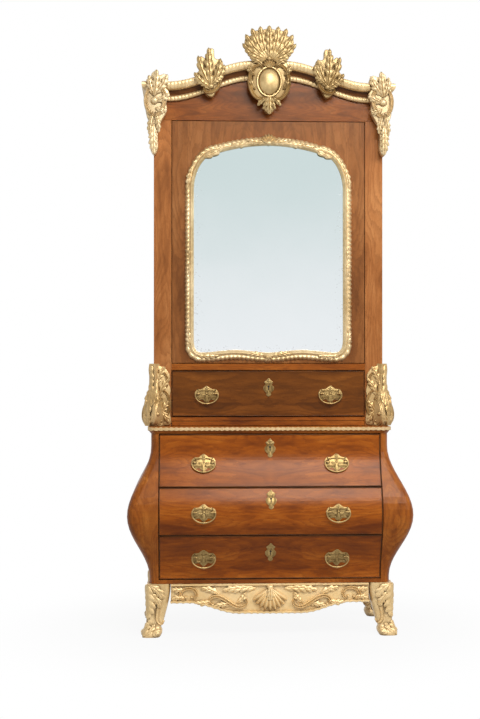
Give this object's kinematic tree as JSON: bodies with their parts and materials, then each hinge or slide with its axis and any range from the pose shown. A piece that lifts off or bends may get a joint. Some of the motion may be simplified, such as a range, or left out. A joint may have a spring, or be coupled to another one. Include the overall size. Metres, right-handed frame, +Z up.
{
  "type": "secretary cabinet",
  "caption": "Tall two-part rococo cabinet: swelling chest of drawers on splayed gilt feet, a waist with drawer and writing slide, and a cupboard with a shaped mirror door.",
  "frame": {"origin": "on the floor, in the middle of the width and of the depth with its handles", "axes": "+Z up, front towards -Y, +X to the viewer's right"},
  "size_m": [1.112, 0.578, 2.4],
  "materials": {
    "walnut": "figured veneer, French polished",
    "dark_walnut": "dark polished moulding",
    "pine": "plain, unpolished",
    "gilt": "carved and water gilded",
    "brass": "cast and gilded",
    "mirror": "old silvered plate",
    "leather": "pine board with an inset leather writing surface"
  },
  "bodies": {
    "case": {"chest_left_side": "walnut", "chest_right_side": "walnut", "chest_bottom": "walnut", "chest_top": "walnut", "cabinet_left_side": "walnut", "cabinet_right_side": "walnut", "left_pilaster": "walnut", "right_pilaster": "walnut", "cabinet_base": "walnut", "cabinet_floor": "walnut", "frieze": "walnut", "cornice": "dark_walnut", "chest_back": "pine", "lower_divider": "pine", "upper_divider": "pine", "cabinet_back": "pine", "cabinet_top": "pine", "shelf": "pine", "front_left_foot": "gilt", "front_right_foot": "gilt", "back_left_foot": "gilt", "back_right_foot": "gilt", "front_apron": "gilt", "left_console": "gilt", "right_console": "gilt", "crest_cartouche": "gilt", "left_crest_spray": "gilt", "right_crest_spray": "gilt", "left_corner_scroll": "gilt", "right_corner_scroll": "gilt", "lower_door_pivot": "brass", "upper_door_pivot": "brass"},
    "door": {"door_panel": "walnut", "mirror_glass": "mirror", "mirror_moulding": "gilt"},
    "writing_slide": {"writing_slide": "leather"},
    "lower_drawer": {"lower_drawer_front": "walnut", "lower_drawer_box": "pine", "lower_drawer_left_plate": "brass", "lower_drawer_right_plate": "brass"},
    "lower_drawer_left_bail": {"lower_drawer_left_bail": "brass"},
    "lower_drawer_right_bail": {"lower_drawer_right_bail": "brass"},
    "middle_drawer": {"middle_drawer_front": "walnut", "middle_drawer_box": "pine", "middle_drawer_left_plate": "brass", "middle_drawer_right_plate": "brass"},
    "middle_drawer_left_bail": {"middle_drawer_left_bail": "brass"},
    "middle_drawer_right_bail": {"middle_drawer_right_bail": "brass"},
    "upper_drawer": {"upper_drawer_front": "walnut", "upper_drawer_box": "pine", "upper_drawer_left_plate": "brass", "upper_drawer_right_plate": "brass"},
    "upper_drawer_left_bail": {"upper_drawer_left_bail": "brass"},
    "upper_drawer_right_bail": {"upper_drawer_right_bail": "brass"},
    "waist_drawer": {"waist_drawer_front": "walnut", "waist_drawer_box": "pine", "waist_drawer_left_plate": "brass", "waist_drawer_right_plate": "brass"},
    "waist_drawer_left_bail": {"waist_drawer_left_bail": "brass"},
    "waist_drawer_right_bail": {"waist_drawer_right_bail": "brass"}
  },
  "joints": [
    {"name": "door_hinge", "type": "hinge", "parent": "case", "child": "door", "pos_m": [-0.37, -0.06398, 1.0655], "axis": [0, 0, -1], "range_deg": [0, 105]},
    {"name": "writing_slide_pull", "type": "slide", "parent": "case", "child": "writing_slide", "axis": [0, -1, 0], "range_m": [0, 0.24]},
    {"name": "lower_drawer_pull", "type": "slide", "parent": "case", "child": "lower_drawer", "axis": [0, -1, 0], "range_m": [0, 0.36]},
    {"name": "lower_drawer_left_bail_swing", "type": "hinge", "parent": "lower_drawer", "child": "lower_drawer_left_bail", "pos_m": [-0.26, -0.22174, 0.3105], "axis": [-1, 0, 0], "range_deg": [-22, 75]},
    {"name": "lower_drawer_right_bail_swing", "type": "hinge", "parent": "lower_drawer", "child": "lower_drawer_right_bail", "pos_m": [0.26, -0.22174, 0.3105], "axis": [-1, 0, 0], "range_deg": [-22, 75]},
    {"name": "middle_drawer_pull", "type": "slide", "parent": "case", "child": "middle_drawer", "axis": [0, -1, 0], "range_m": [0, 0.36]},
    {"name": "middle_drawer_left_bail_swing", "type": "hinge", "parent": "middle_drawer", "child": "middle_drawer_left_bail", "pos_m": [-0.26, -0.28356, 0.492], "axis": [-1, 0, 0], "range_deg": [-4, 75]},
    {"name": "middle_drawer_right_bail_swing", "type": "hinge", "parent": "middle_drawer", "child": "middle_drawer_right_bail", "pos_m": [0.26, -0.28356, 0.492], "axis": [-1, 0, 0], "range_deg": [-4, 75]},
    {"name": "upper_drawer_pull", "type": "slide", "parent": "case", "child": "upper_drawer", "axis": [0, -1, 0], "range_m": [0, 0.36]},
    {"name": "upper_drawer_left_bail_swing", "type": "hinge", "parent": "upper_drawer", "child": "upper_drawer_left_bail", "pos_m": [-0.26, -0.20434, 0.6805], "axis": [-1, 0, 0], "range_deg": [0, 75]},
    {"name": "upper_drawer_right_bail_swing", "type": "hinge", "parent": "upper_drawer", "child": "upper_drawer_right_bail", "pos_m": [0.26, -0.20434, 0.6805], "axis": [-1, 0, 0], "range_deg": [0, 75]},
    {"name": "waist_drawer_pull", "type": "slide", "parent": "case", "child": "waist_drawer", "axis": [0, -1, 0], "range_m": [0, 0.26]},
    {"name": "waist_drawer_left_bail_swing", "type": "hinge", "parent": "waist_drawer", "child": "waist_drawer_left_bail", "pos_m": [-0.2465, -0.08798, 0.944], "axis": [-1, 0, 0], "range_deg": [-8, 75]},
    {"name": "waist_drawer_right_bail_swing", "type": "hinge", "parent": "waist_drawer", "child": "waist_drawer_right_bail", "pos_m": [0.2465, -0.08798, 0.944], "axis": [-1, 0, 0], "range_deg": [-8, 75]}
  ]
}
